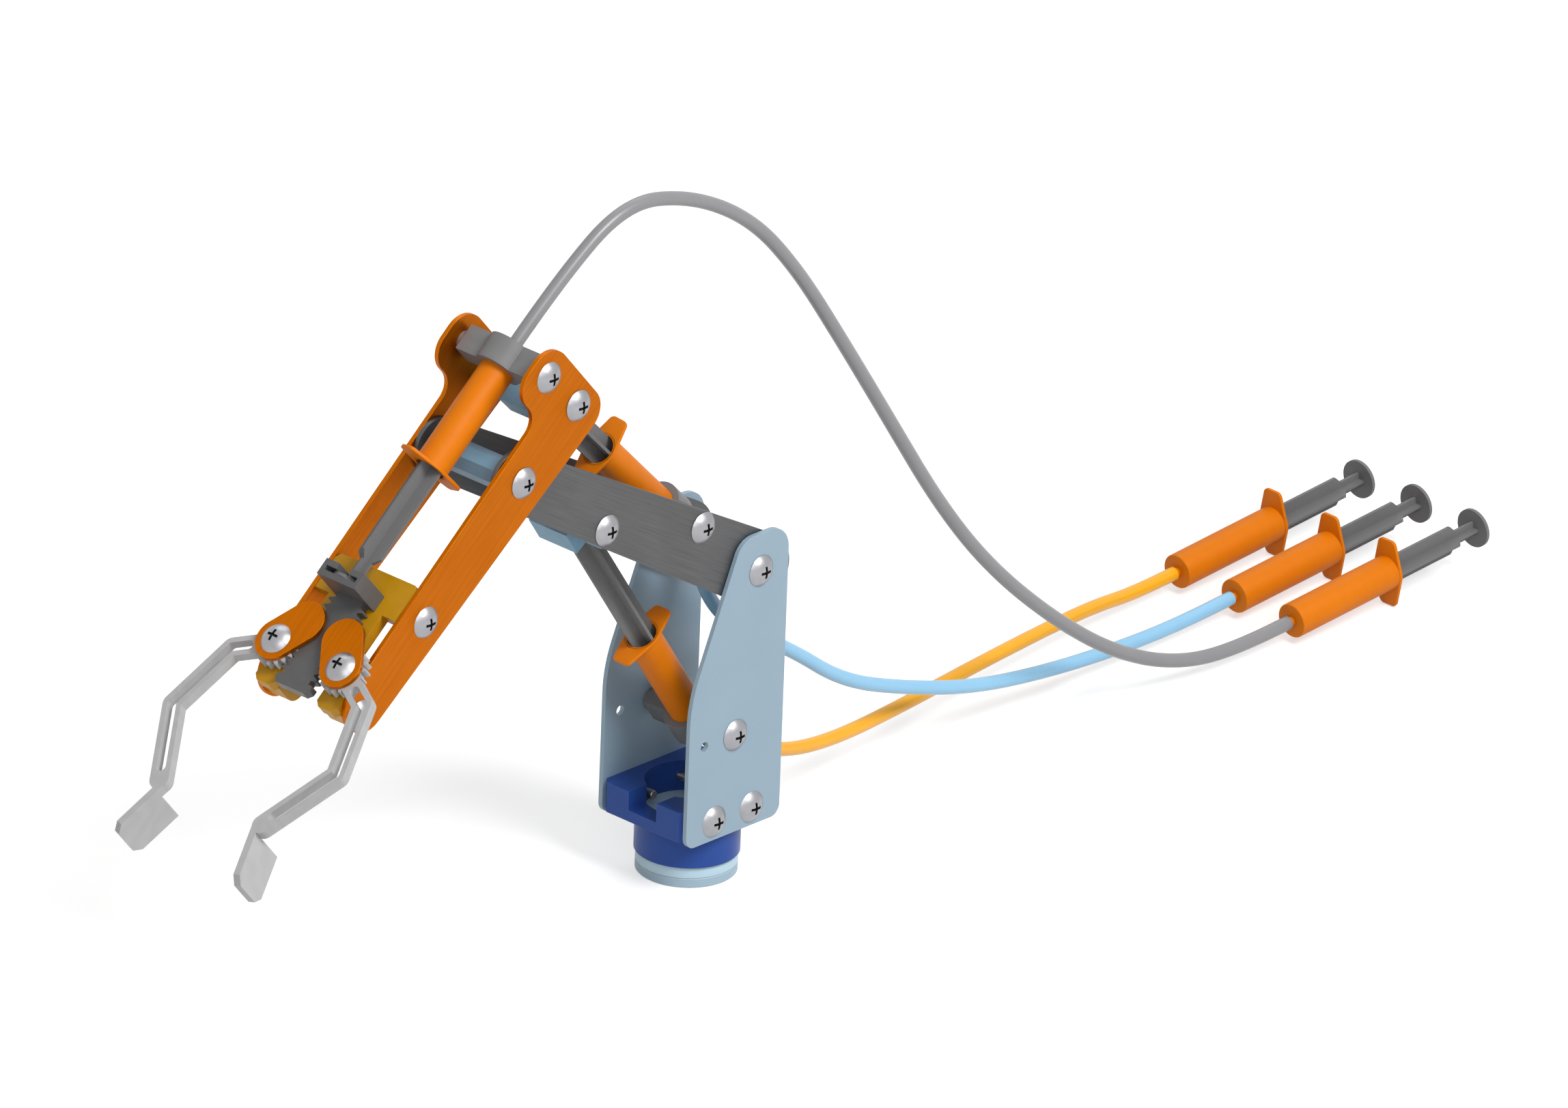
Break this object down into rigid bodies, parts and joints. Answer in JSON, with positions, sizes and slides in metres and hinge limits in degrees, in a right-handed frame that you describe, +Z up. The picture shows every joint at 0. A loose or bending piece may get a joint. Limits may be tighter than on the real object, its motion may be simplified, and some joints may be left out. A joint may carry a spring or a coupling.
{
  "type": "hydraulic robot arm",
  "caption": "Table-top hydraulic robot arm on a round foot, with syringe cylinders, a rack-driven two-finger gripper, and hoses to hand syringes lying behind it.",
  "frame": {"origin": "centre of the underside of the foot, on the surface the arm stands on", "axes": "+X toward the gripper, +Y to the arm's left side, +Z up"},
  "size_m": [0.7606, 0.1112, 0.3168],
  "materials": {
    "foot_metal": "satin",
    "block_metal": "satin",
    "side_metal": "satin",
    "arm_metal": "satin",
    "forearm_metal": "satin",
    "base_plastic": "satin",
    "finger_plastic": "satin",
    "rack_plastic": "satin",
    "bracket_plastic": "satin",
    "holder_plastic": "satin",
    "screw_steel": "satin",
    "barrel_plastic": "gloss",
    "plunger_plastic": "satin",
    "seal_rubber": "matte",
    "hose_grey": "satin",
    "hose_blue": "satin",
    "hose_yellow": "satin"
  },
  "bodies": {
    "frame": {"turntable_block": "block_metal", "block_screws": "screw_steel", "side_plate_left": "side_metal", "side_plate_right": "side_metal", "control_barrel_grip": "barrel_plastic", "control_barrel_elbow": "barrel_plastic", "control_barrel_lift": "barrel_plastic", "gripper_hose": "hose_grey", "elbow_hose": "hose_blue", "lift_hose": "hose_yellow"},
    "foot": {"foot": "foot_metal", "retaining_disc": "foot_metal", "retaining_screw": "screw_steel"},
    "upper_arm": {"upper_arm_plate_left": "arm_metal", "upper_arm_plate_right": "arm_metal", "shoulder_spacer": "holder_plastic", "elbow_spacer": "holder_plastic", "shoulder_screws": "screw_steel", "elbow_screws": "screw_steel"},
    "lift_cylinder": {"lift_bracket": "bracket_plastic", "lift_bracket_screws": "screw_steel", "lift_barrel": "barrel_plastic"},
    "lift_rod": {"lift_plunger": "plunger_plastic", "lift_seal": "seal_rubber", "lift_holder": "holder_plastic", "lift_holder_screws": "screw_steel"},
    "forearm": {"forearm_plate_left": "forearm_metal", "forearm_plate_right": "forearm_metal", "gripper_bracket": "bracket_plastic", "gripper_bracket_screws": "screw_steel", "gripper_barrel": "barrel_plastic", "gripper_base": "base_plastic", "gripper_base_screws": "screw_steel", "cover_links": "forearm_metal", "finger_screws": "screw_steel"},
    "elbow_cylinder": {"elbow_bracket": "bracket_plastic", "elbow_bracket_screws": "screw_steel", "elbow_barrel": "barrel_plastic"},
    "elbow_rod": {"elbow_plunger": "plunger_plastic", "elbow_seal": "seal_rubber", "elbow_holder": "holder_plastic", "elbow_holder_screws": "screw_steel"},
    "rack": {"gripper_rack": "rack_plastic", "gripper_plunger": "plunger_plastic", "gripper_seal": "seal_rubber"},
    "left_finger": {"finger_left": "finger_plastic"},
    "right_finger": {"finger_right": "finger_plastic"},
    "control_rod_lift": {"control_plunger_lift": "plunger_plastic", "control_seal_lift": "seal_rubber"},
    "control_rod_elbow": {"control_plunger_elbow": "plunger_plastic", "control_seal_elbow": "seal_rubber"},
    "control_rod_grip": {"control_plunger_grip": "plunger_plastic", "control_seal_grip": "seal_rubber"}
  },
  "joints": [
    {"name": "swivel", "type": "hinge", "parent": "frame", "child": "foot", "pos_m": [0, 0, 0], "axis": [0, 0, 1], "range_deg": [-90, 90]},
    {"name": "shoulder", "type": "hinge", "parent": "frame", "child": "upper_arm", "pos_m": [-0.0117, 0, 0.1394], "axis": [0, -1, 0], "range_deg": [-18, 18], "deforming": ["gripper_hose", "elbow_hose"]},
    {"name": "lift_tilt", "type": "hinge", "parent": "frame", "child": "lift_cylinder", "pos_m": [0.0002, 0, 0.0686], "axis": [0, -1, 0], "range_deg": [-11.61, 11.61], "deforming": ["lift_hose"]},
    {"name": "lift_stroke", "type": "slide", "parent": "lift_cylinder", "child": "lift_rod", "axis": [0.5619, 0, 0.8272], "range_m": [-0.01574, 0.01574]},
    {"name": "elbow", "type": "hinge", "parent": "upper_arm", "child": "forearm", "pos_m": [0.1316, 0, 0.2223], "axis": [0, -1, 0], "range_deg": [-18, 16]},
    {"name": "elbow_tilt", "type": "hinge", "parent": "upper_arm", "child": "elbow_cylinder", "pos_m": [0.02159, 0, 0.16813], "axis": [0, -1, 0], "range_deg": [-0.7, 0.75]},
    {"name": "elbow_stroke", "type": "slide", "parent": "elbow_cylinder", "child": "elbow_rod", "axis": [0.7049, 0, 0.7093], "range_m": [-0.01129, 0.01267]},
    {"name": "grip", "type": "slide", "parent": "forearm", "child": "rack", "axis": [0.7559, 0, -0.6547], "range_m": [-0.00314, 0.00237]},
    {"name": "finger_left_turn", "type": "hinge", "parent": "forearm", "child": "left_finger", "pos_m": [0.23057, 0.0185, 0.16885], "axis": [0.6547, 0, 0.7559], "range_deg": [-18.3, 13.9]},
    {"name": "finger_right_turn", "type": "hinge", "parent": "forearm", "child": "right_finger", "pos_m": [0.23057, -0.0185, 0.16885], "axis": [0.6547, 0, 0.7559], "range_deg": [-13.9, 18.3]},
    {"name": "control_lift_stroke", "type": "slide", "parent": "frame", "child": "control_rod_lift", "axis": [-0.9964, 0, 0.0844], "range_m": [-0.01574, 0.01574]},
    {"name": "control_elbow_stroke", "type": "slide", "parent": "frame", "child": "control_rod_elbow", "axis": [-0.9964, 0, 0.0844], "range_m": [-0.01267, 0.01129]},
    {"name": "control_grip_stroke", "type": "slide", "parent": "frame", "child": "control_rod_grip", "axis": [-0.9964, 0, 0.0844], "range_m": [-0.0026, 0.0034]}
  ],
  "couplings": [
    {"joint": "lift_tilt", "follows": "shoulder", "ratio": 0.6284},
    {"joint": "lift_stroke", "follows": "shoulder", "m_per_rad": 0.04947},
    {"joint": "control_lift_stroke", "follows": "shoulder", "m_per_rad": -0.04947},
    {"joint": "elbow_tilt", "follows": "elbow", "ratio": -0.025},
    {"joint": "elbow_stroke", "follows": "elbow", "m_per_rad": -0.039698},
    {"joint": "control_elbow_stroke", "follows": "elbow", "m_per_rad": 0.039698},
    {"joint": "finger_left_turn", "follows": "grip", "rad_per_m": 101.01},
    {"joint": "finger_right_turn", "follows": "grip", "rad_per_m": -101.01},
    {"joint": "control_grip_stroke", "follows": "grip", "ratio": -1}
  ]
}
